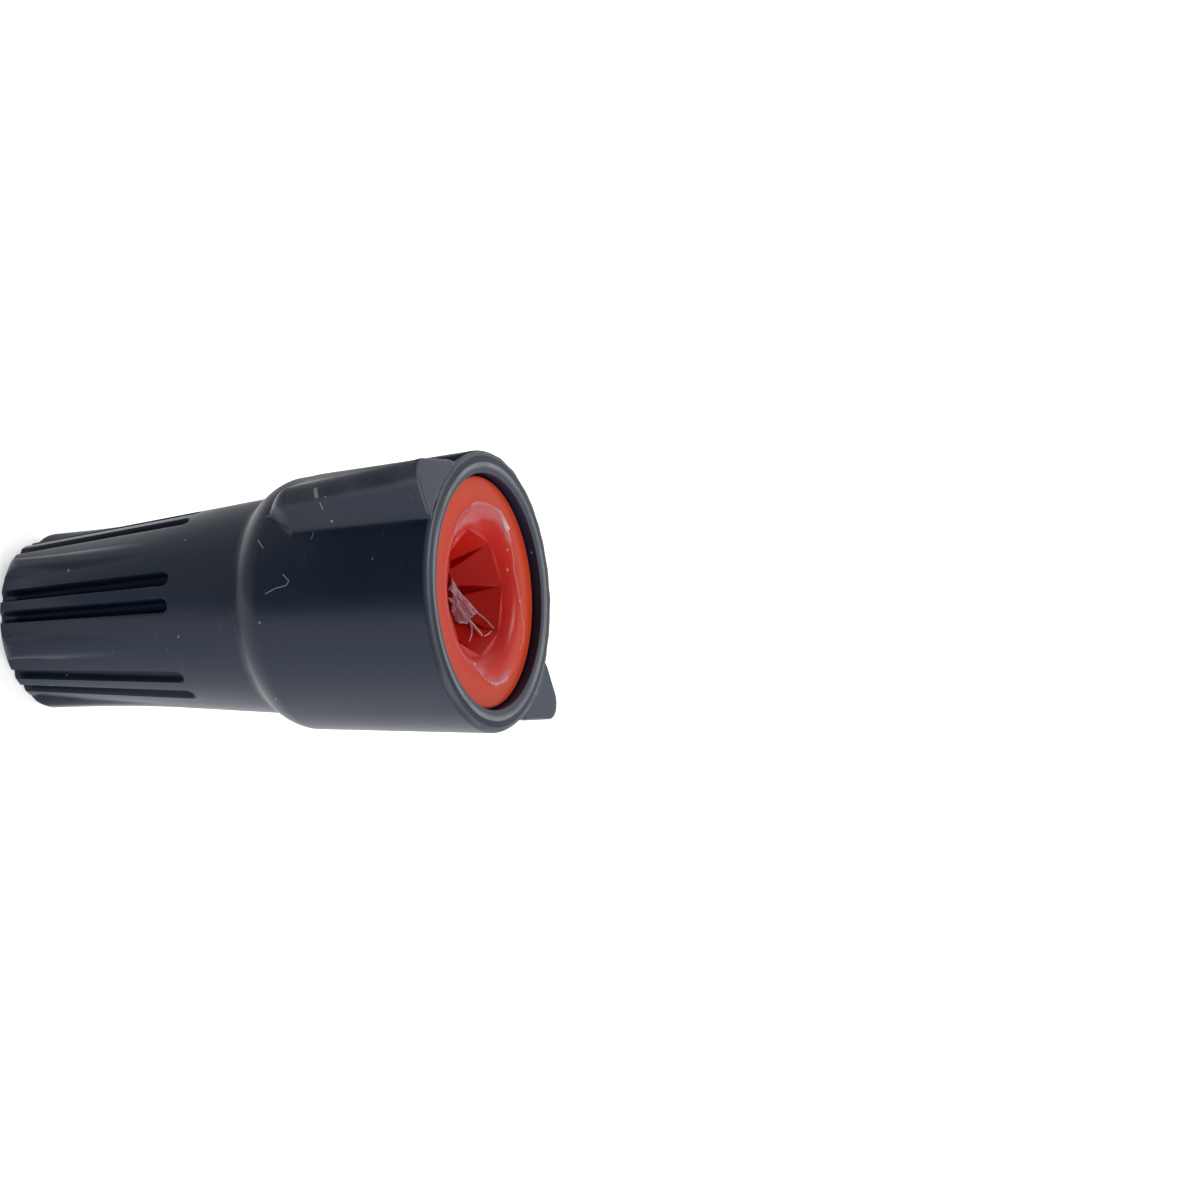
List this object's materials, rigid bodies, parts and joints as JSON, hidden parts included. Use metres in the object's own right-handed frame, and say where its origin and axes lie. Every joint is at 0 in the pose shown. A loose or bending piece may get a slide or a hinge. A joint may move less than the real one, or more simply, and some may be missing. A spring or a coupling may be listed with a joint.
{
  "type": "twist wire connector",
  "caption": "Winged twist-on wire connector with a tapered plastic shell, a funnel insert, a conical square-wire spring and sealant.",
  "frame": {"origin": "centre of the closed end's flat face", "axes": "+Z along the connector's axis from the closed end out of the mouth, +X across the axis between the wings' tips"},
  "size_m": [0.0194, 0.0188, 0.035],
  "materials": {
    "shell_plastic": "satin moulded plastic",
    "insert_plastic": "glossy moulded plastic",
    "spring_steel": "plated wire",
    "sealant": "wet translucent silicone"
  },
  "bodies": {
    "root": {"outer_shell": "shell_plastic", "funnel_insert": "insert_plastic", "coil_spring": "spring_steel", "sealant_plug": "sealant", "sealant_film": "sealant", "sealant_smear": "sealant", "sealant_strands": "sealant"}
  },
  "joints": []
}
